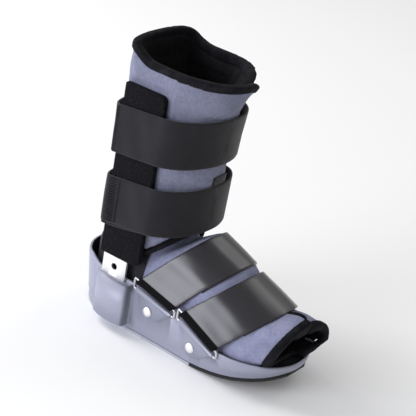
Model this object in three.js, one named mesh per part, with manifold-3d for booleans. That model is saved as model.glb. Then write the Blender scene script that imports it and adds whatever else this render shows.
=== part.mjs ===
// A medical walking boot in millimetres: a moulded rocker base, metal uprights in fabric sleeves,
// a padded wrap for leg and foot, and straps. +Z is up, the toe points along -Y and +X is the wearer's left.
// "Forward" is the distance from the back of the heel towards the toe, and "side" is measured along X.
import * as THREE from "three";
import { mergeVertices } from "three/addons/utils/BufferGeometryUtils.js";
import Module from "manifold-3d";

const wasm = await Module();
wasm.setup();

// Fits
const gap = 0.3; // between pieces that touch
const softGap = 0.6; // between a soft piece and what it lies on
const strapGap = 1; // between a strap and the padding under it
const wireGap = 0.5; // round a wire in its bore or fold
const cutOver = 20; // how far a cutting form passes the face it opens

// Rocker base
const soleLength = 260;
const soleHalfWidth = 50;
const rimHalfWidth = 56;
const originForward = 105; // forward place of the origin, on the flat of the tread
const flatStart = 30; // the tread is flat from here
const flatEnd = 143; // to here
const heelSpring = 7;
const toeSpring = 23.4;
const rockerPower = 2.2;
const treadThickness = 3;
const treadSplit = 164; // where the light heel pad meets the black toe rubber
const treadInset = 0.3; // from the skirt's foot, at the sides
const treadEndInset = 3; // at the heel and the toe
const shellWall = 3.5;
const shellFloor = 8;
const skirtHeight = 11; // height of the band under the lip
const lipDepth = 1;
const edgeRound = 1;
const cupHeight = 65.4;
const wallHeight = 57.5;
const toeRimHeight = 35;
const toeRimFlat = 20; // from the toe back to where the rim begins to dip
const insoleThickness = 3;
const insoleInset = 1;

// Sockets and uprights
const socketStart = 30;
const socketEnd = 83;
const socketDepth = 12.5; // beyond the wall
const socketFoot = 10.5;
const socketRound = 5; // rounding of its front corner, and where its back blends into the wall
const socketTop = 55;
const slotFloor = 20;
const uprightStart = 42.5;
const uprightWidth = 30;
const uprightThickness = 2.8;
const uprightTop = 252;
const uprightHole = 7;
const holeHeight = 66;
const holeSides = 20;

// Leg wrap
const bootHeight = 300; // at the back, where the wrap stands up highest
const legFront = 126;
const legBack = 27;
const legHalfWidth = 48.3;
const flatBack = 41; // the sides of the leg are flat from here
const flatFront = 87; // to here
const linerWall = 6;
const collarHeight = 140; // top of the foot wrap's collar, inside the leg wrap
const hemSide = 90;
const hemFront = 122;
const lapOver = 0.22; // how far the near flap passes the front, in quarter turns
const lapUnder = 0.35; // how far the far flap reaches under it
const sideDrop = 14; // how far the wrap's edge falls from the back to the sides
const nearFallStart = 0.82; // the fall starts this far from the back on the near side, in quarter turns
const farFallStart = 0.35; // and this far on the far side
const fallEnd = 1.5;
const farFlapDrop = 29; // how far the far flap's end curves down
const frontDip = 2; // how far the near flap's edge dips to the front
const cornerDrop = 6; // at the near flap's round corner
const bindingWidth = 8;
const hemBindingWidth = 5;
const bindingProud = 0.7;

// Sleeves
const sleeveStart = 38.5;
const sleeveWidth = 49.5;
const sleeveBottom = 78;
const sleeveTop = 260;
const sleeveInnerWall = 1.3;
const sleeveOuterWall = 1.9;
const sleeveCorner = 8;

// Leg straps
const legStrapWidth = 50;
const legStrapThickness = 2.1;
const calfStrapHeight = 188.7; // lower edge at the middle of the leg
const ankleStrapHeight = 114.4;
const calfStrapTilt = 4.9; // degrees, rising to the front
const ankleStrapTilt = 6.1;
const tabLength = 9; // of the hook tab that shows over the ankle strap
const tabThickness = 1.4;
const tabStart = -0.09; // its ends, in quarter turns from the front
const tabEnd = 0.2;

// Foot wrap, foot straps and their wire loops
const instepHeight = 118;
const footHalfWidth = 50;
const nearToeBack = 20; // from the toe back to the end of the near flap's padding, at the rim
const nearToeLean = 0.33; // how far that end leans forward per millimetre of height
const farToeBack = 9; // the same for the far flap
const nearToeEnd = soleLength - nearToeBack;
const farToeEnd = soleLength - farToeBack;
const toeLapSide = 6; // the near flap's end lies this far past the middle
const lapOuter = 98; // degrees round the arch where the far flap goes under the near one, outside
const lapInner = 66; // and inside
const lapStep = 6;
const toeBindingWidth = 7;
const toeRimClearance = 1.2; // from the rim up to the toe's bindings
const footStrapThickness = 2.2;
const foldReturn = 6; // length of the strap's end above the wire, inside the fold
const wireRadius = 1.5;
const wireSides = 6;
const loopHeight = 10;
const loopCorner = 2.5;
const loopOutset = 0.8; // from the wall's outer face to the wire
const instepStrapStart = 89.5;
const forefootStrapStart = 148;
const instepStrapWidth = 47;
const forefootStrapWidth = 47.5;
const strapRiseBack = 7.5; // height of the wire over the wall's top at the strap's back edge
const strapRiseFront = 4;
const panelProud = 2;
const beadWall = 1; // plastic round the wire's lower side
const beadSides = 8;
const rivetRadius = 4.2;
const rivetHeight = 2.4;

// Colours from the photograph
const finishes = {
  shell: { color: 0x9aa0b8, roughness: 0.42, metalness: 0 },
  paleRubber: { color: 0xb9bbc6, roughness: 0.8, metalness: 0 },
  blackRubber: { color: 0x1b1b1f, roughness: 0.8, metalness: 0 },
  padding: { color: 0x8e93b4, roughness: 0.95, metalness: 0 },
  binding: { color: 0x131318, roughness: 0.9, metalness: 0 },
  loopFabric: { color: 0x18181c, roughness: 1, metalness: 0 },
  webbing: { color: 0x2f2f37, roughness: 0.9, metalness: 0 },
  coatedStrap: { color: 0x303038, roughness: 0.35, metalness: 0 },
  steel: { color: 0xd8d8dc, roughness: 0.3, metalness: 1 },
};

const mix = (a, b, share) => a + (b - a) * share;
const clamp = (value, low, high) => Math.min(high, Math.max(low, value));
const smooth = (value, low, high) => {
  const share = clamp((value - low) / (high - low), 0, 1);
  return share * share * (3 - 2 * share);
};
const radians = (degrees) => (degrees * Math.PI) / 180;
const place = (side, forward, height) => new THREE.Vector3(side, originForward - forward, height);

// A row of the table between its two neighbours, by the value in one column
function rowAt(rows, column, value) {
  const last = rows.length - 1;
  let index = 0;
  while (index < last - 1 && rows[index + 1][column] < value) index += 1;
  const a = rows[index];
  const b = rows[index + 1];
  const share = clamp((value - a[column]) / (b[column] - a[column]), 0, 1);
  const row = {};
  for (const key of Object.keys(a)) row[key] = mix(a[key], b[key], share);
  return row;
}

// A closed solid from a row of closed rings. With a fold index the two end rings are capped by joining
// point k to point fold - k; without one, the last ring is joined to the first.
function ringSolid(rings, fold = null) {
  const count = rings[0].length;
  const positions = rings.flat().flatMap((point) => [point.x, point.y, point.z]);
  const faces = [];
  const steps = fold === null ? rings.length : rings.length - 1;
  for (let i = 0; i < steps; i += 1) {
    const here = i * count;
    const next = ((i + 1) % rings.length) * count;
    for (let k = 0; k < count; k += 1) {
      const l = (k + 1) % count;
      faces.push(here + k, here + l, next + l, here + k, next + l, next + k);
    }
  }
  if (fold !== null) {
    const end = (rings.length - 1) * count;
    const wrap = (k) => ((k % count) + count) % count;
    const first = -Math.floor((count - fold) / 2);
    for (let k = first; k < Math.floor(fold / 2); k += 1) {
      const quad = [wrap(k), wrap(k + 1), wrap(fold - k - 1), wrap(fold - k)];
      for (const [a, b, c] of [[quad[0], quad[1], quad[2]], [quad[0], quad[2], quad[3]]]) {
        if (a === b || b === c || a === c) continue;
        faces.push(a, c, b);
        faces.push(end + a, end + b, end + c);
      }
    }
  }
  return facingOut(positions, faces);
}

// Turns the faces round where they enclose a negative volume
function facingOut(positions, faces) {
  const corner = (i) => new THREE.Vector3().fromArray(positions, faces[i] * 3);
  let volume = 0;
  for (let i = 0; i < faces.length; i += 3) volume += corner(i).dot(corner(i + 1).cross(corner(i + 2)));
  const geometry = new THREE.BufferGeometry();
  geometry.setAttribute("position", new THREE.Float32BufferAttribute(positions, 3));
  geometry.setIndex(volume < 0 ? faces.reverse() : faces);
  return geometry;
}

// Solids for joining and cutting, and back
function toSolid(geometry) {
  const bare = geometry.clone();
  bare.deleteAttribute("normal");
  bare.deleteAttribute("uv");
  const merged = mergeVertices(bare, 1e-4);
  const vertProperties = new Float32Array(merged.attributes.position.array);
  const triVerts = new Uint32Array(merged.index.array);
  return new wasm.Manifold(new wasm.Mesh({ numProp: 3, vertProperties, triVerts }));
}

function toGeometry(solid) {
  const mesh = solid.getMesh();
  const geometry = new THREE.BufferGeometry();
  geometry.setAttribute("position", new THREE.BufferAttribute(new Float32Array(mesh.vertProperties), 3));
  geometry.setIndex(new THREE.BufferAttribute(new Uint32Array(mesh.triVerts), 1));
  return geometry;
}

// The base in plan: half widths at the ground and at the rim, as shares, from heel to toe
const planRows = [
  { along: 0, sole: 0, rim: 0 },
  { along: 0.014, sole: 0.37, rim: 0.45 },
  { along: 0.07, sole: 0.68, rim: 0.8 },
  { along: 0.13, sole: 0.83, rim: 0.88 },
  { along: 0.21, sole: 0.925, rim: 0.893 },
  { along: 0.35, sole: 0.935, rim: 0.893 },
  { along: 0.52, sole: 0.965, rim: 0.911 },
  { along: 0.68, sole: 1, rim: 0.955 },
  { along: 0.82, sole: 0.943, rim: 1 },
  { along: 0.93, sole: 0.71, rim: 0.77 },
  { along: 0.985, sole: 0.355, rim: 0.385 },
  { along: 1, sole: 0, rim: 0 },
];
const planPoints = planRows.map(
  (row) => new THREE.Vector3(row.sole * soleHalfWidth, row.along * soleLength, row.rim * rimHalfWidth),
);
const mirrored = planPoints.slice(1, -1).reverse().map((point) => new THREE.Vector3(-point.x, point.y, -point.z));
const planCurve = new THREE.CatmullRomCurve3([...planPoints, ...mirrored], true, "centripetal");
const samplesPerRow = 3;
const planSamples = 2 * (planRows.length - 1) * samplesPerRow;
const plan = Array.from({ length: planSamples }, (_, i) => {
  const point = planCurve.getPoint(i / planSamples);
  return { sole: point.x, along: point.y, rim: point.z };
});

// Height of the tread's underside, and of the shell's underside above it
function treadBottom(forward) {
  const heel = clamp((flatStart - forward) / flatStart, 0, 1);
  const toe = clamp((forward - flatEnd) / (soleLength - flatEnd), 0, 1);
  return heelSpring * heel ** 2 + toeSpring * toe ** rockerPower;
}
const shellBottom = (forward) => treadBottom(forward) + treadThickness + gap;

// Height of the wall's top: heel cup, side walls that step down at each strap, toe rim
const rimRows = [
  { along: -1, height: cupHeight },
  { along: 24, height: cupHeight },
  { along: 38, height: wallHeight },
  { along: instepStrapStart - 4, height: wallHeight },
  { along: forefootStrapStart - 7, height: wallHeight - 10 },
  { along: forefootStrapStart - 2, height: wallHeight - 8.5 },
  { along: forefootStrapStart + forefootStrapWidth - 5, height: toeRimHeight - 2 },
  { along: forefootStrapStart + forefootStrapWidth + 4, height: toeRimHeight },
  { along: soleLength - toeRimFlat, height: toeRimHeight },
  { along: soleLength, height: toeRimHeight - 2 },
];
const rimHeight = (forward) => rowAt(rimRows, "along", forward).height;

// Half width of the shell's outer face at a place along it, from the ground (0) to the rim (1)
const sideSamples = 240;
const planSide = Array.from({ length: sideSamples + 1 }, (_, i) => {
  const point = planCurve.getPoint(i / (2 * sideSamples));
  return { along: point.y, sole: point.x, rim: point.z };
});
function shellHalfWidth(forward, share) {
  const row = rowAt(planSide, "along", clamp(forward, 0, soleLength));
  return mix(row.sole, row.rim, share);
}
const shellShare = (forward, height) => {
  const bottom = shellBottom(forward);
  return clamp((height - bottom) / (rimHeight(forward) - bottom), 0, 1);
};
const shellFace = (forward, height) => shellHalfWidth(forward, shellShare(forward, height));
const floorDepth = (forward) => Math.min(shellFloor, (rimHeight(forward) - shellBottom(forward)) * 0.5);
const floorTop = (forward) => shellBottom(forward) + floorDepth(forward);
const insoleTop = (forward) => floorTop(forward) + gap + insoleThickness;

// Half width inside the shell, or inside an outline further in, at a place along it and a height
function insideShell(forward, height, inset) {
  const share = shellShare(clamp(forward, 0, soleLength), height);
  const outline = planSide.map((row, i) => {
    const before = planSide[Math.max(0, i - 1)];
    const after = planSide[Math.min(planSide.length - 1, i + 1)];
    const wide = (point) => mix(point.sole, point.rim, share);
    const tangent = new THREE.Vector2(wide(after) - wide(before), after.along - before.along).normalize();
    return { along: row.along + tangent.x * inset, half: wide(row) - tangent.y * inset };
  });
  return rowAt(outline, "along", forward).half;
}

// One closed ring round the shell at a level: a height rule and an inset from the outer face
function shellRing(heightAt, inset) {
  return plan.map((point, i) => {
    const before = plan[(i + planSamples - 1) % planSamples];
    const after = plan[(i + 1) % planSamples];
    const share = shellShare(point.along, heightAt(point.along));
    const wide = (row) => mix(row.sole, row.rim, share);
    const tangent = new THREE.Vector2(wide(after) - wide(before), after.along - before.along).normalize();
    const forward = point.along + tangent.x * inset;
    return place(wide(point) - tangent.y * inset, forward, heightAt(forward));
  });
}

// The base's outer form with its skirt and lip, and the hollow that is cut out of it
function shellForm() {
  const skirt = (forward) => Math.min(skirtHeight, (rimHeight(forward) - shellBottom(forward)) / 3);
  const rings = [
    shellRing(shellBottom, lipDepth + edgeRound),
    shellRing((forward) => shellBottom(forward) + edgeRound, lipDepth),
    shellRing((forward) => shellBottom(forward) + skirt(forward), lipDepth),
    shellRing((forward) => shellBottom(forward) + skirt(forward) + lipDepth, 0),
    shellRing((forward) => rimHeight(forward) - edgeRound, 0),
    shellRing(rimHeight, edgeRound),
  ];
  return toSolid(ringSolid(rings, planSamples));
}
function shellHollow() {
  const rings = [
    shellRing(floorTop, shellWall + edgeRound),
    shellRing((forward) => floorTop(forward) + edgeRound, shellWall),
    shellRing((forward) => rimHeight(forward) - edgeRound, shellWall),
    shellRing(rimHeight, shellWall - edgeRound),
    shellRing((forward) => rimHeight(forward) + cupHeight, shellWall - edgeRound),
  ];
  return toSolid(ringSolid(rings, planSamples));
}

// Socket for an upright: a rounded block on the wall, steep at its front end
function socketBlock(sign) {
  const wall = shellHalfWidth((socketStart + socketEnd) / 2, 1);
  const outer = wall + socketDepth;
  const inner = wall - shellWall * 3;
  const back = socketStart + socketRound;
  const bulge = mix(socketStart, socketEnd, 0.45);
  const widest = mix(socketStart, socketEnd, 0.72);
  const outline = new THREE.Shape();
  outline.moveTo(inner, back);
  outline.lineTo(wall - socketRound, back);
  outline.bezierCurveTo(outer - socketRound, back, outer, bulge, outer, widest);
  outline.quadraticCurveTo(outer, socketEnd, outer - socketRound, socketEnd);
  outline.lineTo(inner, socketEnd);
  outline.closePath();
  const block = new THREE.ExtrudeGeometry(outline, {
    depth: socketTop - socketFoot,
    bevelEnabled: false,
    curveSegments: 7,
  });
  const matrix = new THREE.Matrix4().set(sign, 0, 0, 0, 0, -1, 0, originForward, 0, 0, 1, socketFoot, 0, 0, 0, 1);
  return toSolid(flipped(block.applyMatrix4(matrix), sign > 0));
}

// Turns a mirrored geometry's faces round again
function flipped(geometry, turn) {
  const merged = geometry.index ? geometry : mergeVertices(geometry);
  const index = Array.from(merged.index.array);
  if (turn) merged.setIndex(index.reverse());
  return merged;
}

const box = (halfSide, forwardFrom, forwardTo, low, high, side = 0) =>
  toSolid(
    new THREE.BoxGeometry(halfSide * 2, forwardTo - forwardFrom, high - low).translate(
      side,
      originForward - (forwardFrom + forwardTo) / 2,
      (low + high) / 2,
    ),
  );

// Places across the side, from the leg wrap outwards
const sleeveInside = legHalfWidth + gap;
const uprightInside = sleeveInside + sleeveInnerWall + gap;
const uprightMiddle = uprightInside + uprightThickness / 2;
const sleeveOutside = uprightInside + uprightThickness + gap + sleeveOuterWall;
const strapInside = sleeveOutside + gap;

// The wire loops: a rounded rectangle whose lower side lies in a bead on the wall's top
const footStraps = [
  {
    name: "instep",
    start: instepStrapStart,
    width: instepStrapWidth,
    rivet: { along: 0.35, drop: 0.36 },
    panel: [
      { along: -0.03, drop: 0.02 },
      { along: 0.1, drop: 0.32 },
      { along: 0.31, drop: 0.5 },
      { along: 0.6, drop: 0.48 },
      { along: 1, drop: 0.06 },
    ],
  },
  {
    name: "forefoot",
    start: forefootStrapStart,
    width: forefootStrapWidth,
    rivet: { along: 0.35, drop: 0.5 },
    panel: [
      { along: -0.03, drop: 0.02 },
      { along: 0.12, drop: 0.46 },
      { along: 0.27, drop: 0.74 },
      { along: 0.52, drop: 0.74 },
      { along: 1, drop: 0.08 },
    ],
  },
];
const wireSide = (strap, share) =>
  mix(shellHalfWidth(strap.start, 1), shellHalfWidth(strap.start + strap.width, 1), share) + loopOutset;
const wallTopLine = (strap, share) => {
  const back = rimHeight(strap.start + 1);
  const front = rimHeight(strap.start + strap.width - 4);
  return mix(back, front, share);
};
// Forward place and height of the strap's wire at a share of the strap's width
const wirePoint = (strap, share) => ({
  forward: strap.start + strap.width * share,
  height: wallTopLine(strap, share) + mix(strapRiseBack, strapRiseFront, share),
});

const foldRadius = wireRadius + wireGap + footStrapThickness / 2; // of the strap's middle round the wire
function loopPath(strap, sign) {
  const backOverhang = foldRadius + wireRadius + wireGap;
  const frontOverhang = wireRadius + footStrapThickness * 0.5;
  const back = wirePoint(strap, 0);
  const front = wirePoint(strap, 1);
  const slope = (front.height - back.height) / strap.width;
  const corner = (forward, drop) =>
    place(
      sign * wireSide(strap, (forward - strap.start) / strap.width),
      forward,
      back.height + slope * (forward - strap.start) - drop,
    );
  const corners = [
    corner(strap.start - backOverhang, 0),
    corner(strap.start + strap.width + frontOverhang, 0),
    corner(strap.start + strap.width + frontOverhang, loopHeight * 0.8),
    corner(strap.start - backOverhang, loopHeight * 1.1),
  ];
  const path = new THREE.CurvePath();
  const at = (a, b) => a.clone().add(b.clone().sub(a).setLength(loopCorner));
  for (let i = 0; i < 4; i += 1) {
    const here = corners[i];
    const next = corners[(i + 1) % 4];
    const after = corners[(i + 2) % 4];
    path.add(new THREE.LineCurve3(at(here, next), at(next, here)));
    path.add(new THREE.QuadraticBezierCurve3(at(next, here), next, at(next, after)));
  }
  return path;
}

// A wire along a closed path as a solid ring
function closedWire(path, radius, sides) {
  const spots = [];
  for (const curve of path.curves) {
    const steps = curve instanceof THREE.LineCurve3 ? 1 : 3;
    for (let i = 0; i < steps; i += 1) spots.push(curve.getPoint(i / steps));
  }
  const middle = spots.reduce((sum, spot) => sum.add(spot), new THREE.Vector3()).divideScalar(spots.length);
  const rings = spots.map((spot, i) => {
    const before = spots[(i + spots.length - 1) % spots.length];
    const after = spots[(i + 1) % spots.length];
    const along = after.clone().sub(before).normalize();
    const outward = spot.clone().sub(middle);
    const across = new THREE.Vector3().crossVectors(along, outward).normalize();
    const out = new THREE.Vector3().crossVectors(across, along).normalize();
    return Array.from({ length: sides }, (_, k) => {
      const angle = ((k + 0.5) * 2 * Math.PI) / sides;
      return spot
        .clone()
        .addScaledVector(across, Math.cos(angle) * radius)
        .addScaledVector(out, Math.sin(angle) * radius);
    });
  });
  return ringSolid(rings);
}

// A rivet panel: a raised triangle with blunt corners, hung from the wall's top under its loop
function panelPlate(strap, sign) {
  const spots = strap.panel.map((corner) => {
    const forward = strap.start + strap.width * corner.along;
    const top = wallTopLine(strap, corner.along);
    return { forward, height: mix(top, shellBottom(forward), corner.drop) };
  });
  const ring = (out) =>
    spots.map((spot) => place(sign * (shellFace(spot.forward, spot.height) + out), spot.forward, spot.height));
  return toSolid(ringSolid([ring(-shellWall / 2), ring(panelProud)], spots.length));
}

// The rolled bead that holds the loop's lower side
function panelBead(strap, sign) {
  const path = loopPath(strap, sign);
  const lower = path.curves[4];
  const bead = new THREE.ExtrudeGeometry(circle(wireRadius + wireGap + beadWall, beadSides), {
    steps: 1,
    bevelEnabled: false,
    extrudePath: new THREE.LineCurve3(lower.getPoint(0.97), lower.getPoint(0.03)),
  });
  return toSolid(bead);
}

function circle(radius, sides) {
  const shape = new THREE.Shape();
  for (let i = 0; i < sides; i += 1) {
    const angle = (i * 2 * Math.PI) / sides;
    const spot = [Math.cos(angle) * radius, Math.sin(angle) * radius];
    if (i === 0) shape.moveTo(...spot);
    else shape.lineTo(...spot);
  }
  shape.closePath();
  return shape;
}

function baseShell() {
  let body = shellForm();
  for (const sign of [-1, 1]) {
    body = body.add(socketBlock(sign));
    for (const strap of footStraps) {
      body = body.add(panelPlate(strap, sign)).add(panelBead(strap, sign));
    }
  }
  body = body.subtract(shellHollow());
  for (const sign of [-1, 1]) {
    const slot = box(
      uprightThickness / 2 + gap,
      uprightStart - gap,
      uprightStart + uprightWidth + gap,
      slotFloor - gap,
      bootHeight,
      sign * uprightMiddle,
    );
    body = body.subtract(slot);
    for (const strap of footStraps) {
      body = body.subtract(toSolid(closedWire(loopPath(strap, sign), wireRadius + wireGap, wireSides)));
    }
  }
  return toGeometry(body);
}

// A slab that follows the base: half width, underside and top are rules of the forward place
function slab(from, to, halfWidthAt, bottomAt, topAt, stations) {
  const rings = [];
  for (let i = 0; i <= stations; i += 1) {
    const share = (1 - Math.cos((Math.PI * i) / stations)) / 2;
    const forward = mix(from, to, mix(share, i / stations, 0.35));
    const half = halfWidthAt(forward);
    const low = bottomAt(forward);
    const high = topAt(forward);
    const sides = [[-half, low], [half, low], [half, high], [-half, high]];
    rings.push(sides.map(([across, height]) => place(across, forward, height)));
  }
  return ringSolid(rings, 3);
}
const treadHalfWidth = (forward) => shellHalfWidth(forward, 0) - treadInset - lipDepth;
const treadStations = 22;
const tread = (from, to) =>
  slab(from, to, treadHalfWidth, treadBottom, (forward) => treadBottom(forward) + treadThickness, treadStations);
function insole() {
  const inset = shellWall + edgeRound + insoleInset;
  return ringSolid([shellRing((forward) => floorTop(forward) + gap, inset), shellRing(insoleTop, inset)], planSamples);
}

// The leg wrap's sections up the leg, as shares of its height, front, back and half width
const legRows = [
  { height: 0.27, front: 0.93, back: 0.9, half: 0.97 },
  { height: 0.405, front: 0.985, back: 1, half: 1 },
  { height: 0.578, front: 0.995, back: 1, half: 1 },
  { height: 0.722, front: 1.01, back: 1, half: 1 },
  { height: 0.814, front: 1.04, back: 0.8, half: 1 },
  { height: 0.877, front: 1.1, back: 0.55, half: 1 },
  { height: 0.934, front: 1.17, back: 0.72, half: 1.03 },
  { height: 0.963, front: 1.195, back: 0.86, half: 1.05 },
  { height: 1, front: 1.2, back: 0.95, half: 1.06 },
];
function legSection(height) {
  const row = rowAt(legRows, "height", height / bootHeight);
  return {
    front: row.front * legFront,
    back: row.back * legBack,
    half: row.half * legHalfWidth,
    flatFront,
    flatBack,
  };
}

// A point of a leg section. The turn counts quarters from the front round by the far side:
// 0 front, 1 and 2 the ends of the far flat, 3 back, 4 and 5 the ends of the near flat, 6 front again.
function aroundLeg(section, turn) {
  const lap = ((turn % 6) + 6) % 6;
  const sign = lap < 3 ? 1 : -1;
  const quarter = lap < 3 ? lap : 6 - lap;
  if (quarter < 1) {
    const angle = (quarter * Math.PI) / 2;
    return new THREE.Vector2(
      sign * section.half * Math.sin(angle),
      section.flatFront + (section.front - section.flatFront) * Math.cos(angle),
    );
  }
  if (quarter < 2) {
    return new THREE.Vector2(sign * section.half, mix(section.flatFront, section.flatBack, quarter - 1));
  }
  const angle = ((quarter - 2) * Math.PI) / 2;
  return new THREE.Vector2(
    sign * section.half * Math.cos(angle),
    section.flatBack - (section.flatBack - section.back) * Math.sin(angle),
  );
}
function insetAroundLeg(section, turn, inset) {
  const step = 0.02;
  const point = aroundLeg(section, turn);
  const along = aroundLeg(section, turn + step).sub(aroundLeg(section, turn - step)).normalize();
  return new THREE.Vector2(point.x + along.y * inset, point.y - along.x * inset);
}

const turnStart = -lapUnder;
const turnEnd = 6 + lapOver;
const turnSteps = 48;
const turns = Array.from({ length: turnSteps + 1 }, (_, i) => mix(turnStart, turnEnd, i / turnSteps));
// The far flap lies one wall deeper where the near flap covers it
const lapInset = (turn) => (linerWall + softGap + 2 * bindingProud) * (1 - smooth(turn, lapOver + 0.08, 1));
// Lower edge: level at the sides and back, rising to the front
function hemHeight(turn) {
  const lap = ((turn % 6) + 6) % 6;
  const quarter = Math.min(lap, 6 - lap);
  return quarter < 1 ? mix(hemSide, hemFront, Math.cos((quarter * Math.PI) / 2) ** 1.3) : hemSide;
}
// Upper edge: highest at the back, level at the sides, with the flaps' corners rounded down
function topHeight(turn) {
  const fallStart = turn < 3 ? farFallStart : nearFallStart;
  const fall = sideDrop * smooth(Math.abs(turn - 3), fallStart, fallEnd);
  const farDrop = farFlapDrop * (1 - smooth(turn, -0.75, 0.55));
  const nearDrop = frontDip * smooth(turn, 4.6, 6) + cornerDrop * smooth(turn, 6, 6 + lapOver) ** 2;
  return bootHeight - fall - farDrop - nearDrop;
}

// A padded sheet round the leg between two height rules, with rings at the given shares of its height
function wrapSheet(lowAt, highAt, levels, proud) {
  const rings = [];
  for (const level of levels) {
    const outer = [];
    const inner = [];
    for (const turn of turns) {
      const height = mix(lowAt(turn), highAt(turn), level);
      const section = legSection(height);
      const a = insetAroundLeg(section, turn, lapInset(turn) - proud);
      const b = insetAroundLeg(section, turn, lapInset(turn) + linerWall + proud);
      outer.push(place(a.x, a.y, height));
      inner.push(place(b.x, b.y, height));
    }
    rings.push([...outer, ...inner.reverse()]);
  }
  return ringSolid(rings, 2 * turns.length - 1);
}

// A strap as a closed band round the wrap and both sleeves, level across and tilted up to the front
function legStrap(lowHeight, tilt, thickness) {
  const steps = 42;
  const levels = 1;
  const rise = Math.tan(radians(tilt));
  const middle = (flatBack + flatFront) / 2;
  const ring = (share, out) =>
    Array.from({ length: steps }, (_, k) => {
      const turn = (6 * k) / steps;
      const level = lowHeight + legStrapWidth * share;
      const section = {
        front: legSection(level + rise * (legFront - middle)).front + strapGap,
        back: legSection(level - rise * (middle - legBack)).back - strapGap,
        half: strapInside,
        flatFront: sleeveStart + sleeveWidth + 1,
        flatBack: sleeveStart - 1,
      };
      const spot = insetAroundLeg(section, turn, -out);
      return place(spot.x, spot.y, level + (spot.y - middle) * rise);
    });
  const outer = [];
  const inner = [];
  for (let i = 0; i <= levels; i += 1) {
    outer.push(ring(i / levels, thickness));
    inner.push(ring(i / levels, 0));
  }
  return ringSolid([...outer, ...inner.reverse()]);
}

// The end of the ankle strap's hook tab, on the near flap just over the strap
function strapTab() {
  const steps = 5;
  const reach = legFront + strapGap - (flatBack + flatFront) / 2;
  const edge = ankleStrapHeight + legStrapWidth + Math.tan(radians(ankleStrapTilt)) * reach;
  const rings = Array.from({ length: steps + 1 }, (_, i) => {
    const turn = mix(tabStart, tabEnd, i / steps);
    const corner = (height, out) => {
      const spot = insetAroundLeg(legSection(height), turn, -out);
      return place(spot.x, spot.y, height);
    };
    const low = edge + softGap;
    const high = low + tabLength;
    return [
      corner(low, softGap),
      corner(high, softGap),
      corner(high, softGap + tabThickness),
      corner(low, softGap + tabThickness),
    ];
  });
  return ringSolid(rings, 3);
}

// A fabric sleeve over an upright, open below
function sleeve(sign) {
  const depth = sleeveOutside - sleeveInside;
  const outline = roundedPlate(sleeveWidth, sleeveTop - sleeveBottom, sleeveCorner);
  const body = new THREE.ExtrudeGeometry(outline, { depth, bevelEnabled: false, curveSegments: 4 });
  const matrix = new THREE.Matrix4().set(
    0, 0, 1, sign * (sleeveInside + depth / 2) - depth / 2,
    -1, 0, 0, originForward - sleeveStart,
    0, 1, 0, sleeveBottom,
    0, 0, 0, 1,
  );
  body.applyMatrix4(matrix);
  const pocket = box(
    uprightThickness / 2 + gap,
    uprightStart - gap,
    uprightStart + uprightWidth + gap,
    sleeveBottom - 5,
    uprightTop + gap,
    sign * uprightMiddle,
  );
  return toGeometry(toSolid(flipped(body, true)).subtract(pocket));
}
function roundedPlate(width, height, radius) {
  const shape = new THREE.Shape();
  shape.moveTo(0, 0);
  shape.lineTo(width - radius, 0);
  shape.quadraticCurveTo(width, 0, width, radius);
  shape.lineTo(width, height - radius);
  shape.quadraticCurveTo(width, height, width - radius, height);
  shape.lineTo(0, height);
  shape.closePath();
  return shape;
}

function upright(sign) {
  const bar = box(
    uprightThickness / 2,
    uprightStart,
    uprightStart + uprightWidth,
    slotFloor,
    uprightTop,
    sign * uprightMiddle,
  );
  const drill = new THREE.CylinderGeometry(uprightHole / 2, uprightHole / 2, uprightThickness * 3, holeSides);
  drill.rotateZ(Math.PI / 2);
  drill.translate(sign * uprightMiddle, originForward - uprightStart - uprightWidth / 2, holeHeight);
  return toGeometry(bar.subtract(toSolid(drill)));
}

// The foot wrap's sections: each is an arch from a base point on both walls to a crest point
const footRows = [
  { base: 0.231, low: 0.49, near: 0.84, far: 0.84, crest: 0.415, high: 0.847, lap: 0, square: 0.8 },
  { base: 0.342, low: 0.508, near: 0.9, far: 0.9, crest: 0.517, high: 1, lap: 0, square: 0.8 },
  { base: 0.535, low: 0.398, near: 0.91, far: 0.91, crest: 0.687, high: 0.84, lap: 0, square: 0.8 },
  { base: 0.569, low: 0.398, near: 0.92, far: 0.92, crest: 0.71, high: 0.798, lap: 0.1, square: 0.82 },
  { base: 0.75, low: 0.288, near: 0.98, far: 0.98, crest: 0.888, high: 0.634, lap: 0.8, square: 0.88 },
  { base: 0.854, low: 0.32, near: 0.97, far: 1, crest: 0.94, high: 0.67, lap: 1.3, square: 0.92 },
  { base: 0.923, low: 0.335, near: 0.87, far: 1, crest: 0.963, high: 0.68, lap: 1.5, square: 0.95 },
  { base: 0.97, low: 0.34, near: 0.82, far: 1, crest: 0.985, high: 0.675, lap: 1.55, square: 0.97 },
  { base: 1.03, low: 0.345, near: 0.76, far: 1, crest: 1.03, high: 0.67, lap: 1.6, square: 1 },
].map((row) => ({ ...row, base: row.base * soleLength, crest: row.crest * soleLength }));
const footSection = (forward) => rowAt(footRows, "base", forward);

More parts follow.
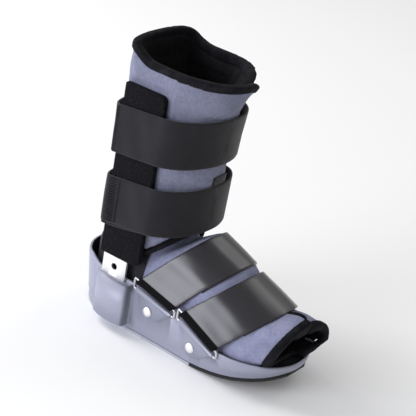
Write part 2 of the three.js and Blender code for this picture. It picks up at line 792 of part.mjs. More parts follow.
// The foot wrap's outer form, or with an inset its hollow
function footForm(inset) {
  const archSteps = 24;
  const lapDepth = linerWall + softGap;
  const lapFrom = inset > 0 ? lapInner : lapOuter;
  const rings = footRows.map((row) => {
    const low = row.low * instepHeight;
    const high = row.high * instepHeight;
    const length = Math.hypot(row.crest - row.base, high - low);
    const ring = [];
    for (let i = 0; i <= archSteps; i += 1) {
      const angle = (Math.PI * i) / archSteps;
      const lap = row.lap * lapDepth * smooth(angle, radians(lapFrom - lapStep), radians(lapFrom)) * Math.sin(angle);
      const half = (angle < Math.PI / 2 ? row.near : row.far) * footHalfWidth - inset;
      const across = Math.abs(Math.cos(angle)) ** row.square * Math.sign(Math.cos(angle));
      const up = (Math.sin(angle) ** row.square * (length - inset - lap)) / length;
      ring.push(place(-across * half, mix(row.base, row.crest, up), mix(low, high, up)));
    }
    const bottom = insoleTop(Math.min(row.base, soleLength - shellWall)) + softGap + inset;
    const inside = (height) => insideShell(row.base, height, shellWall + softGap + inset);
    const knee = Math.min(rimHeight(Math.min(row.base, soleLength)) + softGap, low - 2);
    for (const [sign, wide] of [[1, row.far], [-1, row.near]]) {
      const half = wide * footHalfWidth - inset;
      const spots = [
        [Math.min(half, inside(knee)), Math.max(knee, bottom + 2 * edgeRound)],
        [Math.min(half, inside(bottom + edgeRound)) - 1.5 * edgeRound, bottom + edgeRound],
        [Math.min(half, inside(bottom)) - linerWall, bottom],
      ];
      if (sign < 0) spots.reverse();
      for (const [across, height] of spots) ring.push(place(sign * Math.max(across, edgeRound), row.base, height));
    }
    return ring;
  });
  return toSolid(ringSolid(rings, archSteps));
}

// The heel and ankle part of the foot wrap, from the insole up into the leg wrap
const heelRows = [
  { height: 0, front: 0.8, back: 0.6, half: 0.74 },
  { height: 0.06, front: 0.82, back: 0.42, half: 0.82 },
  { height: 0.38, front: 0.83, back: 0.25, half: 0.88 },
  { height: 0.5, front: 0.83, back: 0.3, half: 0.88 },
  { height: 0.555, front: 0.82, back: 0.6, half: 0.85 },
  { height: 0.585, front: 0.82, back: 1.35, half: 0.78 },
  { height: 1, front: 0.81, back: 1.4, half: 0.78 },
];
function heelForm(inset, over) {
  const to = collarHeight + over;
  const steps = 36;
  const rings = heelRows.map((row) => {
    const section = {
      front: row.front * legFront,
      back: row.back * legBack,
      half: row.half * legHalfWidth,
      flatFront,
      flatBack,
    };
    return Array.from({ length: steps }, (_, k) => {
      const spot = insetAroundLeg(section, (6 * k) / steps, inset);
      const height = mix(insoleTop(spot.y) + softGap + inset, to, row.height);
      const widest = height < cupHeight + 2 ? insideShell(spot.y, height, shellWall + softGap + inset) : 100;
      return place(Math.sign(spot.x) * Math.min(Math.abs(spot.x), Math.max(widest, 0.5)), spot.y, height);
    });
  });
  return toSolid(ringSolid(rings, steps));
}

// Everything on one side behind the cut at the open toe, moved forward by a distance
function behindToeCut(sign, distance) {
  const size = 4 * soleLength;
  const end = sign < 0 ? nearToeEnd : farToeEnd;
  const block = new THREE.BoxGeometry(size, size, size).translate(0, size / 2, 0);
  block.rotateX(sign < 0 ? Math.atan(nearToeLean) : 0);
  block.translate((sign * size) / 2 + toeLapSide, originForward - end - distance, toeRimHeight);
  return toSolid(block);
}

const footOuter = footForm(0).add(heelForm(0, 0));
const footHollow = footForm(linerWall).add(heelForm(linerWall, cutOver));
const footShell = footOuter.subtract(footHollow);
function linerFoot() {
  const kept = behindToeCut(-1, -gap).add(behindToeCut(1, -gap));
  return toGeometry(footShell.intersect(kept));
}
function toeBinding(sign) {
  const edge = footForm(-bindingProud).subtract(footForm(linerWall + bindingProud));
  const strip = edge.intersect(behindToeCut(sign, toeBindingWidth)).subtract(behindToeCut(sign, 0));
  const width = 2 * footHalfWidth;
  const middle = sign * (width + gap / 2) + toeLapSide;
  const low = toeRimHeight + toeRimClearance;
  const upper = box(width, nearToeEnd / 2, 2 * soleLength, low, 2 * instepHeight, middle);
  return toGeometry(strip.intersect(upper));
}

// A foot strap: over the foot and folded round a wire on each side
function footStrap(strap) {
  const rows = 4;
  const archSteps = 18;
  const foldSteps = 5;
  const archFrom = radians(30);
  const lift = strapGap + footStrapThickness / 2;
  const rings = [];
  for (let i = 0; i <= rows; i += 1) {
    const share = i / rows;
    const wire = wirePoint(strap, share);
    const section = footSection(wire.forward);
    const low = section.low * instepHeight;
    const high = section.high * instepHeight;
    const length = Math.hypot(section.crest - section.base, high - low);
    const crest = {
      forward: mix(section.base, section.crest, (length + lift) / length),
      height: mix(low, high, (length + lift) / length),
    };
    const up = Math.hypot(crest.forward - wire.forward, crest.height - wire.height);
    const half = wireSide(strap, share) + foldRadius;
    const path = [];
    const fold = (sign) => {
      const spots = [[half - 2 * foldRadius, foldReturn]];
      for (let k = 0; k <= foldSteps; k += 1) {
        const angle = Math.PI + (Math.PI * k) / foldSteps;
        spots.push([half - foldRadius + foldRadius * Math.cos(angle), foldRadius * Math.sin(angle)]);
      }
      return spots.map(([across, rise]) => new THREE.Vector2(sign * across, rise));
    };
    path.push(...fold(-1));
    for (let k = 0; k <= archSteps; k += 1) {
      const angle = mix(archFrom, Math.PI - archFrom, k / archSteps);
      const across = Math.abs(Math.cos(angle)) ** section.square * Math.sign(Math.cos(angle));
      const wide = (angle < Math.PI / 2 ? section.near : section.far) * footHalfWidth + lift;
      const drop = (length + lift) * (1 - Math.sin(angle) ** section.square);
      path.push(new THREE.Vector2(-across * wide, up - drop));
    }
    path.push(...fold(1).reverse());
    const offset = (distance) =>
      path.map((spot, k) => {
        const before = path[Math.max(0, k - 1)];
        const after = path[Math.min(path.length - 1, k + 1)];
        const along = after.clone().sub(before).normalize();
        return new THREE.Vector2(spot.x - along.y * distance, spot.y + along.x * distance);
      });
    const leaning = (spot) => {
      const rise = spot.y / up;
      return place(spot.x, mix(wire.forward, crest.forward, rise), mix(wire.height, crest.height, rise));
    };
    const outer = offset(footStrapThickness / 2).map(leaning);
    const inner = offset(-footStrapThickness / 2).map(leaning);
    rings.push([...outer, ...inner.reverse()]);
  }
  return ringSolid(rings, rings[0].length - 1);
}

// A domed rivet on its panel
function rivet(strap, sign) {
  const forward = strap.start + strap.width * strap.rivet.along;
  const height = mix(wallTopLine(strap, strap.rivet.along), shellBottom(forward), strap.rivet.drop);
  const profile = [new THREE.Vector2(0, 0), new THREE.Vector2(rivetRadius, 0)];
  for (let i = 1; i <= 4; i += 1) {
    const angle = (Math.PI / 2) * (i / 4);
    profile.push(new THREE.Vector2(rivetRadius * Math.cos(angle), rivetHeight * (0.2 + 0.8 * Math.sin(angle))));
  }
  profile[profile.length - 1].x = 0;
  const dome = new THREE.LatheGeometry(profile, 12);
  const step = rivetRadius;
  const face = (f, h) => place(sign * (shellFace(f, h) + panelProud), f, h);
  const alongF = face(forward + step, height).sub(face(forward - step, height));
  const alongH = face(forward, height + step).sub(face(forward, height - step));
  const out = new THREE.Vector3().crossVectors(alongF, alongH).normalize();
  if (out.x * sign < 0) out.negate();
  const turn = new THREE.Quaternion().setFromUnitVectors(new THREE.Vector3(0, 1, 0), out);
  dome.applyQuaternion(turn);
  const seat = face(forward, height).addScaledVector(out, gap);
  dome.translate(seat.x, seat.y, seat.z);
  return toGeometry(toSolid(dome));
}

const boot = new THREE.Group();
function piece(name, geometry, finish) {
  geometry.computeVertexNormals();
  const mesh = new THREE.Mesh(geometry, new THREE.MeshStandardMaterial({ ...finish, flatShading: true }));
  mesh.name = name;
  boot.add(mesh);
}

piece("base_shell", baseShell(), finishes.shell);
piece("tread_heel", tread(treadEndInset, treadSplit - gap / 2), finishes.paleRubber);
piece("tread_toe", tread(treadSplit + gap / 2, soleLength - treadEndInset), finishes.blackRubber);
piece("insole", insole(), finishes.binding);
piece("liner_foot", linerFoot(), finishes.padding);
piece("binding_toe_near", toeBinding(-1), finishes.binding);
piece("binding_toe_far", toeBinding(1), finishes.binding);
const hemTop = (turn) => hemHeight(turn) + hemBindingWidth;
const topBottom = (turn) => topHeight(turn) - bindingWidth;
const shaftLevels = [0, 0.35, 0.7, 0.8, 0.9, 1];
const shaft = wrapSheet((turn) => hemTop(turn) + gap, (turn) => topBottom(turn) - softGap, shaftLevels, 0);
piece("liner_shaft", shaft, finishes.padding);
piece("binding_top", wrapSheet(topBottom, topHeight, [0, 1], bindingProud), finishes.binding);
piece("binding_hem", wrapSheet(hemHeight, hemTop, [0, 1], bindingProud), finishes.binding);
piece("strap_calf", legStrap(calfStrapHeight, calfStrapTilt, legStrapThickness), finishes.webbing);
piece("strap_ankle", legStrap(ankleStrapHeight, ankleStrapTilt, legStrapThickness), finishes.webbing);
piece("strap_tab", strapTab(), finishes.webbing);
for (const [suffix, sign] of [["right", -1], ["left", 1]]) {
  piece(`upright_${suffix}`, upright(sign), finishes.steel);
  piece(`sleeve_${suffix}`, sleeve(sign), finishes.loopFabric);
  for (const strap of footStraps) {
    piece(`loop_${strap.name}_${suffix}`, closedWire(loopPath(strap, sign), wireRadius, wireSides), finishes.steel);
    piece(`rivet_${strap.name}_${suffix}`, rivet(strap, sign), finishes.steel);
  }
}
for (const strap of footStraps) piece(`strap_${strap.name}`, footStrap(strap), finishes.coatedStrap);

export default boot;
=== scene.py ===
import bmesh
import bpy
import numpy as np
from mathutils import Matrix, Vector
from mathutils.bvhtree import BVHTree


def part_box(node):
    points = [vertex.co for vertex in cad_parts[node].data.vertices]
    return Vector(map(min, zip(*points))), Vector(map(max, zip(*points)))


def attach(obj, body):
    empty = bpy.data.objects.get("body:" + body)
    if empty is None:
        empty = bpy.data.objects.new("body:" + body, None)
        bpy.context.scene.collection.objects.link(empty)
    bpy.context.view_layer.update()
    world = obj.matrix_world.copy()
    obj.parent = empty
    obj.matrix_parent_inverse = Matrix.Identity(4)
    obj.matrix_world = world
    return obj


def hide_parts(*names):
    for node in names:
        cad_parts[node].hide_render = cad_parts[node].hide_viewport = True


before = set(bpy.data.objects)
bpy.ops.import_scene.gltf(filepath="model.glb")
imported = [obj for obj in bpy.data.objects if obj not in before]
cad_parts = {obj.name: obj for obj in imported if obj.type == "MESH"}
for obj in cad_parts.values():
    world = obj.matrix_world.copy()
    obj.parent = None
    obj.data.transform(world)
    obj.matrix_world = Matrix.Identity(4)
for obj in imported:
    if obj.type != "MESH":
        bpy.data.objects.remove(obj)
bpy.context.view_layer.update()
print("stage: frame loaded")

mm = 0.001  # one millimetre in metres

# camera: turned round the boot, raised, rolled a little, and moved so that the boot sits as in the picture
cameraSet = {
    "azimuth": -57.197, "elevation": 24.4645, "roll": 10.547,
    "distance": 1.42143, "aim": (0, 0, 0.12), "side": 0.016863, "lift": 0.015577, "lens": 122.54,
}


def makeCamera(s):
    # back points from the boot to the camera; right and up are turned by the roll
    a, e, r = np.radians([s["azimuth"], s["elevation"], s["roll"]])
    back = np.array([np.sin(a) * np.cos(e), -np.cos(a) * np.cos(e), np.sin(e)])
    right = np.array([np.cos(a), np.sin(a), 0.0])
    up = np.cross(back, right)
    rolledRight = right * np.cos(r) + up * np.sin(r)
    rolledUp = up * np.cos(r) - right * np.sin(r)
    place = np.array(s["aim"]) + rolledRight * s["side"] + rolledUp * s["lift"] + back * s["distance"]
    data = bpy.data.cameras.new("camera")
    data.lens = s["lens"]
    data.sensor_width = 36
    data.clip_end = 50
    camera = bpy.data.objects.new("camera", data)
    bpy.context.scene.collection.objects.link(camera)
    turned = Matrix((rolledRight, rolledUp, back)).transposed().to_4x4()
    camera.matrix_world = Matrix.Translation(Vector(place)) @ turned
    bpy.context.scene.camera = camera


makeCamera(cameraSet)


# shader maths: a wrapped socket that adds Math nodes when it is used in an expression
class Wire:
    def __init__(self, paint, socket):
        self.paint, self.socket = paint, socket

    def __add__(self, other):
        return self.paint.math("ADD", self, other)

    def __radd__(self, other):
        return self.paint.math("ADD", other, self)

    def __sub__(self, other):
        return self.paint.math("SUBTRACT", self, other)

    def __rsub__(self, other):
        return self.paint.math("SUBTRACT", other, self)

    def __mul__(self, other):
        return self.paint.math("MULTIPLY", self, other)


class Paint:
    # a material with its Principled shader; uniform values are set straight on the shader
    def __init__(self, name, **uniform):
        self.material = bpy.data.materials.new(name)
        self.material.use_nodes = True
        self.tree = self.material.node_tree
        self.shader = self.tree.nodes["Principled BSDF"]
        for key, value in uniform.items():
            self.shader.inputs[key.replace("_", " ")].default_value = value

    def node(self, kind, settings=None, values=None, out=0):
        made = self.tree.nodes.new(kind)
        for key, value in (settings or {}).items():
            setattr(made, key, value)
        for key, value in (values or {}).items():
            if isinstance(value, Wire):
                self.tree.links.new(value.socket, made.inputs[key])
            else:
                made.inputs[key].default_value = value
        return Wire(self, made.outputs[out])

    def math(self, operation, a, b=0.0):
        # one Math node; a and b are wired sockets or numbers
        return self.node("ShaderNodeMath", {"operation": operation}, {0: a, 1: b})

    def place(self):
        return self.node("ShaderNodeTexCoord", out="Object")

    def axis(self, which):
        # one coordinate of the piece's own place, in metres
        split = self.node("ShaderNodeSeparateXYZ", values={0: self.place()})
        return Wire(self, split.socket.node.outputs["XYZ".index(which)])

    def cloth(self, which):
        # one coordinate of the strap's own map, in metres
        uv = self.node("ShaderNodeUVMap", {"uv_map": "cloth"})
        split = self.node("ShaderNodeSeparateXYZ", values={0: uv})
        return Wire(self, split.socket.node.outputs["XYZ".index(which)])

    def noise(self, size, detail=2.0, rough=0.5):
        # noise in the piece's own place; its grain's size is in millimetres
        values = {"Vector": self.place(), "Scale": 1000 / size, "Detail": detail, "Roughness": rough}
        return self.node("ShaderNodeTexNoise", values=values, out="Fac")

    def ramp(self, value, low, high):
        # 0 below low, 1 above high, smooth between
        return self.node("ShaderNodeMapRange", {"interpolation_type": "SMOOTHSTEP"}, {
            "Value": value, "From Min": low, "From Max": high}, out=0)

    def wave(self, value, size):
        # a sine of the given wavelength in metres, from 0 to 1
        return self.math("SINE", value * (2 * np.pi / size)) * 0.5 + 0.5

    def blend(self, factor, a, b):
        # colour a where the factor is 0, colour b where it is 1
        made = self.node("ShaderNodeMix", {"data_type": "RGBA"}, out=2)
        mix = made.socket.node
        for index, value in ((0, factor), (6, a), (7, b)):
            if isinstance(value, Wire):
                self.tree.links.new(value.socket, mix.inputs[index])
            else:
                mix.inputs[index].default_value = value if index == 0 else (*value, 1)
        return made

    def finish(self, colour, roughness, height, strength=0.5, depth=0.3):
        # height goes through one Bump node; depth in millimetres
        values = {"Height": height, "Strength": strength, "Distance": depth * mm}
        bump = self.node("ShaderNodeBump", values=values)
        for key, value in (("Base Color", colour), ("Roughness", roughness), ("Normal", bump)):
            self.tree.links.new(value.socket, self.shader.inputs[key])
        return self.material


def paintShell():
    # satin plastic: a broad drift of tone, a fine grain, a few paler scuffs, and painted shade on the sockets'
    # forward faces
    p = Paint("shellPlastic", Coat_Weight=0.12, Coat_Roughness=0.25)
    broad, fine = p.noise(70), p.noise(1.3, 3)
    scuff = p.ramp(p.noise(9, 5, 0.7), 0.6, 0.74)
    colour = p.blend(broad, (0.283, 0.293, 0.375), (0.32, 0.331, 0.42))
    colour = p.blend(scuff * 0.22, colour, (0.40, 0.42, 0.52))
    # painted shade: the sockets' forward faces are painted dark, standing in for the shadow that falls there
    side, along = p.math("ABSOLUTE", p.axis("X")), p.axis("Y")
    shade = p.ramp(side, 0.0500, 0.0520) * p.ramp(along, 0.0190, 0.0210) * (1 - p.ramp(along, 0.0225, 0.0255))
    colour = p.blend(shade * 0.62, colour, (0.05, 0.052, 0.075))
    return p.finish(colour, 0.36 + broad * 0.1 + scuff * 0.08, fine * 0.7 + scuff * 0.3, 0.25, 0.12)


def paintPadding(name, light, dark, sheen):
    # brushed loop fabric: fine fuzz, soft mottling and a little pilling
    p = Paint(name, Sheen_Weight=sheen, Sheen_Roughness=0.5, Specular_IOR_Level=0.15)
    mottle, fuzz, pill = p.noise(22, 3), p.noise(1.6, 4, 0.7), p.noise(3.6, 4, 0.65)
    colour = p.blend(p.ramp(mottle * 0.4 + pill * 0.6, 0.36, 0.64), dark, light)
    colour = p.blend(p.ramp(fuzz, 0.52, 0.72) * 0.45, colour, tuple(min(1, c * 1.4) for c in light))
    return p.finish(colour, 0.86 + fuzz * 0.12, fuzz * 0.6 + pill * 0.6, 0.7, 0.7)


def paintFoot():
    # the foot wrap: lilac forward of the ankle, dark stretch fabric behind, with a seam between
    p = Paint("footPadding", Sheen_Weight=0.06, Sheen_Roughness=0.5, Specular_IOR_Level=0.15)
    mottle, fuzz, pill = p.noise(22, 3), p.noise(1.1, 4, 0.7), p.noise(3.2, 4, 0.65)
    back = p.ramp(p.axis("Y"), 0.0145, 0.0165)
    seam = 1 - p.ramp(p.math("ABSOLUTE", p.axis("Y") - 0.0155), 0.0, 0.0012)
    tone = p.ramp(mottle * 0.5 + pill * 0.5, 0.36, 0.66)
    lilac = p.blend(tone, (0.213, 0.223, 0.335), (0.29, 0.303, 0.44))
    dark = p.blend(mottle, (0.010, 0.010, 0.012), (0.022, 0.022, 0.027))
    colour = p.blend(back, lilac, dark)
    height = (fuzz * 0.6 + pill * 0.6) * (1 - back * 0.6) - seam * 1.5
    return p.finish(colour, 0.92 - back * 0.25, height, 0.7, 0.7)


def paintBinding():
    # stretch tape: ribs across it are too fine to see, a soft nap and faint worn high spots
    p = Paint("bindingTape", Sheen_Weight=0.01, Sheen_Roughness=0.4, Specular_IOR_Level=0.1)
    nap, wear = p.noise(0.8, 3, 0.7), p.noise(12, 3)
    colour = p.blend(p.ramp(wear, 0.4, 0.75), (0.006, 0.006, 0.008), (0.016, 0.016, 0.021))
    return p.finish(colour, 0.78 + nap * 0.15, nap * 0.8 + p.wave(p.axis("Z"), 0.0011) * 0.15, 0.6, 0.35)


def paintLoopFabric():
    # black loop fabric: coarse tufts that are paler at their tips, with fine fuzz
    p = Paint("loopFabric", Sheen_Weight=0.01, Sheen_Roughness=0.6, Specular_IOR_Level=0.08)
    tuft, fuzz, tone = p.noise(2.4, 5, 0.75), p.noise(0.8, 3, 0.7), p.noise(20, 2)
    colour = p.blend(p.ramp(tuft, 0.5, 0.72) * 0.8, (0.0055, 0.0055, 0.007), (0.028, 0.028, 0.033))
    return p.finish(colour, 0.93 + tone * 0.05, tuft * 1.1 + fuzz * 0.5, 0.9, 1.0)


def paintWebbing():
    # brushed strap fabric: a fine weave in the cloth's own directions under a nap, paler where it is rubbed
    p = Paint("strapWebbing", Sheen_Weight=0.28, Sheen_Roughness=0.45, Specular_IOR_Level=0.2)
    weave = p.wave(p.cloth("X"), 0.0011) * p.wave(p.cloth("Y"), 0.0011)
    nap, rub = p.noise(1.0, 4, 0.7), p.noise(26, 4, 0.6)
    colour = p.blend(p.ramp(rub, 0.35, 0.7), (0.0100, 0.0094, 0.0120), (0.0125, 0.0118, 0.0148))
    colour = p.blend(p.ramp(nap, 0.52, 0.8) * 0.4, colour, (0.040, 0.039, 0.046))
    return p.finish(colour, 0.82 + nap * 0.12, weave * 0.5 + nap * 0.7, 0.5, 0.4)


def paintCoated():
    # coated strap: fine grain and soft creases under a shiny coat; each end, round its wire, is dull with
    # pressed lines across it, and its colour there is painted near black as painted shade
    p = Paint("coatedStrap", Coat_Roughness=0.27, Coat_IOR=1.6, Specular_IOR_Level=0.1)
    grain, crease, tone = p.noise(0.9, 3, 0.6), p.noise(11, 3, 0.55), p.noise(34, 3)
    # painted shade: the colour is darkened to near black on the band round each wire, where the strap folds
    # under
    fold = 1 - p.ramp(p.cloth("Y"), 0.0212, 0.0226)
    lines = p.ramp(p.wave(p.cloth("Y"), 0.0021), 0.25, 0.6)
    colour = p.blend(tone, (0.0085, 0.0080, 0.0115), (0.0125, 0.0120, 0.0180))
    colour = p.blend(fold, colour, (0.0035, 0.0035, 0.0045))
    p.tree.links.new(((1 - fold) * (0.8 + tone * 0.2)).socket, p.shader.inputs["Coat Weight"])
    roughness = 0.5 + tone * 0.10 + grain * 0.05 + fold * 0.3
    height = grain * 0.25 + crease * 1.0 + lines * fold * 0.8
    return p.finish(colour, roughness, height, 0.35, 0.8)


def paintMetal(name, colour, rough):
    # satin metal: smears that are a seventh darker and duller, over a fine brushed grain
    p = Paint(name, Metallic=1.0)
    brushed, smear = p.noise(0.7, 2), p.noise(14, 3)
    tone = p.blend(smear, colour, tuple(c * 0.86 for c in colour))
    return p.finish(tone, rough + smear * 0.1 + brushed * 0.05, brushed, 0.12, 0.1)


def paintRubber(name, colour):
    # matte rubber: a gritty surface with patches a quarter darker
    p = Paint(name)
    grit, tone = p.noise(1.4, 4, 0.7), p.noise(16, 3)
    shade = p.blend(tone, colour, tuple(c * 0.75 for c in colour))
    return p.finish(shade, 0.7 + grit * 0.2, grit, 0.5, 0.3)


paints = {
    "shell": paintShell(),
    "padding": paintPadding("wrapPadding", (0.205, 0.212, 0.298), (0.155, 0.160, 0.228), 0.06),
    "foot": paintFoot(),
    # the black footbed's own colour, also put on inside faces as painted shade
    "lining": paintPadding("blackFootbedAndPaintedShade", (0.012, 0.012, 0.014), (0.006, 0.006, 0.008), 0.01),
    "binding": paintBinding(),
    "loop_fabric": paintLoopFabric(),
    "webbing": paintWebbing(),
    "coated_strap": paintCoated(),
    "steel": paintMetal("satinSteel", (0.95, 0.94, 0.94), 0.42),
    "wire": paintMetal("wireSteel", (0.62, 0.62, 0.64), 0.34),
    "pale_rubber": paintRubber("paleRubber", (0.42, 0.43, 0.49)),
    "black_rubber": paintRubber("blackRubber", (0.010, 0.010, 0.012)),
}
print("stage: materials made")


def newPiece(name, mesh, node, slot, paint=None):
    # links the piece, gives it its finish and lets it ride with the boot
    piece = bpy.data.objects.new(name, mesh)
    bpy.context.scene.collection.objects.link(piece)
    mesh.materials.clear()
    mesh.materials.append(paints[paint or slot])
    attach(piece, "root")
    if node:
        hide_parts(node)
    return piece


def smoothShade(mesh, angle):
    # smooth faces, with sharp edges where they meet at more than the angle in degrees
    mesh.polygons.foreach_set("use_smooth", np.ones(len(mesh.polygons), bool))
    mesh.set_sharp_from_angle(angle=np.radians(angle))
    mesh.update()


def solidCopy(node):
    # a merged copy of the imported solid
    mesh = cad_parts[node].data.copy()
    work = bmesh.new()
    work.from_mesh(mesh)
    bmesh.ops.remove_doubles(work, verts=work.verts, dist=2e-6)
    work.to_mesh(mesh)
    work.free()
    return mesh


def flatten(mesh):
    # joins the triangles that lie in one plane
    work = bmesh.new()
    work.from_mesh(mesh)
    bmesh.ops.dissolve_limit(work, angle_limit=np.radians(1), verts=work.verts, edges=work.edges)
    work.to_mesh(mesh)
    work.free()


def settle(piece):
    # applies the live modifiers to the mesh
    evaluated = piece.evaluated_get(bpy.context.evaluated_depsgraph_get())
    mesh = bpy.data.meshes.new_from_object(evaluated)
    piece.modifiers.clear()
    piece.data = mesh
    return mesh


def points(mesh):
    # each vertex's place, in metres
    flat = np.empty(len(mesh.vertices) * 3, np.float32)
    mesh.vertices.foreach_get("co", flat)
    return flat.reshape(-1, 3).astype(float)


def normals(mesh):
    # each vertex's normal, of length 1
    flat = np.empty(len(mesh.vertices) * 3, np.float32)
    mesh.vertex_normals.foreach_get("vector", flat)
    return flat.reshape(-1, 3).astype(float)


def setPoints(mesh, spots):
    # moves the vertices to new places, in metres
    mesh.vertices.foreach_set("co", spots.astype(np.float32).ravel())
    mesh.update()


def faceData(mesh):
    # each face's centre in metres and its normal
    count = len(mesh.polygons)
    centre, normal = np.empty(count * 3, np.float32), np.empty(count * 3, np.float32)
    mesh.polygons.foreach_get("center", centre)
    mesh.polygons.foreach_get("normal", normal)
    return centre.reshape(-1, 3), normal.reshape(-1, 3)


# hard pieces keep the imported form: finish, angle of sharp edges, round of the edges in mm, subdivision levels
hardSet = {
    "tread_heel": ("pale_rubber", 30, 0.0, 0), "tread_toe": ("black_rubber", 30, 0.0, 0),
    "insole": ("lining", 40, 0.0, 0),
    "upright_right": ("steel", 30, 0.5, 0), "upright_left": ("steel", 30, 0.5, 0),
    "sleeve_right": ("loop_fabric", 50, 1.4, 0), "sleeve_left": ("loop_fabric", 50, 1.4, 0),
    "strap_tab": ("webbing", 40, 0.4, 0),
    "rivet_instep_right": ("steel", 60, 0.9, 0), "rivet_instep_left": ("steel", 60, 0.9, 0),
    "rivet_forefoot_right": ("steel", 60, 0.9, 0), "rivet_forefoot_left": ("steel", 60, 0.9, 0),
    "loop_instep_right": ("steel", 80, 0.0, 2), "loop_instep_left": ("steel", 80, 0.0, 2),
    "loop_forefoot_right": ("steel", 80, 0.0, 2), "loop_forefoot_left": ("steel", 80, 0.0, 2),
}
# the wires gain back what subdivision takes, and the rivets' domes are widened in their own plane
skinSet = {"wireGrow": 0.12, "rivetWide": 1.35, "roundedFrom": 40}  # mm, a factor and degrees

for node, (slot, angle, roundEdge, levels) in hardSet.items():
    mesh = solidCopy(node)
    piece = newPiece(node + "_made", mesh, node, slot, "wire" if node.startswith("loop") else None)
    if roundEdge:
        flatten(mesh)
        bevel = piece.modifiers.new("round", "BEVEL")
        bevel.width, bevel.segments, bevel.limit_method = roundEdge * mm, 3, "ANGLE"
        bevel.angle_limit = np.radians(skinSet["roundedFrom"])
    if levels:
        subdivide = piece.modifiers.new("subdivide", "SUBSURF")
        subdivide.levels = subdivide.render_levels = levels
    mesh = settle(piece)
    if levels:
        setPoints(mesh, points(mesh) + normals(mesh) * skinSet["wireGrow"] * mm)
    if node.startswith("rivet"):
        spots = points(mesh)
        centre = (spots.min(0) + spots.max(0)) / 2
        setPoints(mesh, centre + (spots - centre) * [1, skinSet["rivetWide"], skinSet["rivetWide"]])
    smoothShade(mesh, angle)
    if slot == "webbing":
        mesh.uv_layers.new(name="cloth")
print("stage: hard pieces made")


# the shell's inside, in metres: the ends of its middle line, and its floor's top and half width
# turnedIn and floorTilt are least cosines
shellSet = {
    "middle": (-0.105, 0.055), "floorTop": 0.032, "floorHalf": 0.040,
    "turnedIn": 0.5, "floorTilt": 0.8,
}


def baseShell(s):
    # the imported shell; faces that look back at the middle line, and the floor's top, are painted black as
    # painted shade for the shell's dark inside
    mesh = solidCopy("base_shell")
    newPiece("base_shell_made", mesh, "base_shell", "shell")
    # painted shade: the black on the shell's inside faces
    mesh.materials.append(paints["lining"])
    centre, normal = faceData(mesh)
    middle = np.clip(centre[:, 1], *s["middle"])
    out = np.stack([centre[:, 0], centre[:, 1] - middle], 1)
    out /= np.maximum(np.linalg.norm(out, axis=1, keepdims=True), 1e-6)
    inward = (out * normal[:, :2]).sum(1) < -s["turnedIn"]
    onFloor = (np.abs(centre[:, 0]) < s["floorHalf"]) & (centre[:, 2] < s["floorTop"])
    lined = inward | onFloor & (normal[:, 2] > s["floorTilt"])
    mesh.polygons.foreach_set("material_index", lined.astype(np.int32))
    smoothShade(mesh, 38)


baseShell(shellSet)
print("stage: shell made")

# soft pieces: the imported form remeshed, smoothed, and puffed by a short cloth run
# voxel, grow and fill are in millimetres; smooth is a number of rounds
tape = {"slot": "binding", "paint": "binding", "puff": False}
softSet = {
    "liner_shaft": {
        "slot": "padding", "paint": "padding", "voxel": 2.6, "smooth": 8, "puff": True,
        "cores": {"binding_top": (0, 0, -1.6)}},
    "liner_foot": {
        "slot": "padding", "paint": "foot", "voxel": 2.4, "smooth": 7, "puff": True, "fill": 0.8,
        "cores": {"binding_toe_near": (0, 1.6, 0), "binding_toe_far": (0, 1.6, 0)}},
    "binding_top": dict(tape, voxel=1.3, smooth=9, grow=0.7),
    "binding_hem": dict(tape, voxel=1.3, smooth=7, grow=0.4),
    "binding_toe_near": dict(tape, voxel=1.2, smooth=9, grow=0.9),
    "binding_toe_far": dict(tape, voxel=1.2, smooth=9, grow=0.9),
}
clothSet = {"pressure": 4.0, "frames": 20, "quality": 4}

# the farthest that the padding moves, in millimetres: free, under sleeves and base, under straps
# the leg straps rise to the front by tilt for each millimetre forward of tiltFrom
capSet = {
    "free": 1.5, "tight": 0.25, "legStrap": 0.6, "footStrap": 0.5,
    "tiltFrom": 64, "tilt": 0.095, "strapLow": (114.4, 188.7), "strapWidth": 51, "strapSpare": 1,
    "sleeveSide": 40, "sleeveForward": (34, 92), "sleeveTop": 264,
    "footStraps": (80, 205), "baseTop": 62,
}
# the leg straps' edges and the toes' fold, with how far their pulls reach, in millimetres
pullSet = {"edges": (112, 167, 186, 242), "reach": 7.0, "fold": 222, "foldReach": 16.0, "foldLow": 40}


def puffed(piece, s):
    # Blender's cloth with air inside and no weight; gives the points before and after, and softPiece caps each
    # point's move
    before = points(piece.data)
    cloth = piece.modifiers.new("cloth", "CLOTH")
    cloth.settings.quality = s["quality"]
    cloth.settings.use_pressure = True
    cloth.settings.uniform_pressure_force = s["pressure"]
    cloth.settings.effector_weights.gravity = 0
    cloth.point_cache.frame_end = s["frames"]
    for step in range(1, s["frames"] + 1):
        bpy.context.scene.frame_set(step)
    after = points(settle(piece))
    bpy.context.scene.frame_set(1)
    return before, after


def footFrame(spots):
    # side, forward of the heel's back, and height, in millimetres
    x, y, z = (spots / mm).T
    return x, 105 - y, z


def capAt(name, spots, s):
    # small under sleeves and straps, full where the padding is free
    x, forward, z = footFrame(spots)
    cap = np.full(len(spots), s["free"])
    if name == "liner_shaft":
        level = z - (forward - s["tiltFrom"]) * s["tilt"]
        strap = np.zeros(len(spots), bool)
        for low in s["strapLow"]:
            strap |= (level > low - s["strapSpare"]) & (level < low + s["strapWidth"])
        back, front = s["sleeveForward"]
        sleeve = (np.abs(x) > s["sleeveSide"]) & (forward > back) & (forward < front) & (z < s["sleeveTop"])
        cap[strap] = s["legStrap"]
        cap[sleeve] = s["tight"]
    else:
        back, front = s["footStraps"]
        cap[(forward > back) & (forward < front)] = s["footStrap"]
        cap[z < s["baseTop"]] = s["tight"]
    return cap * mm


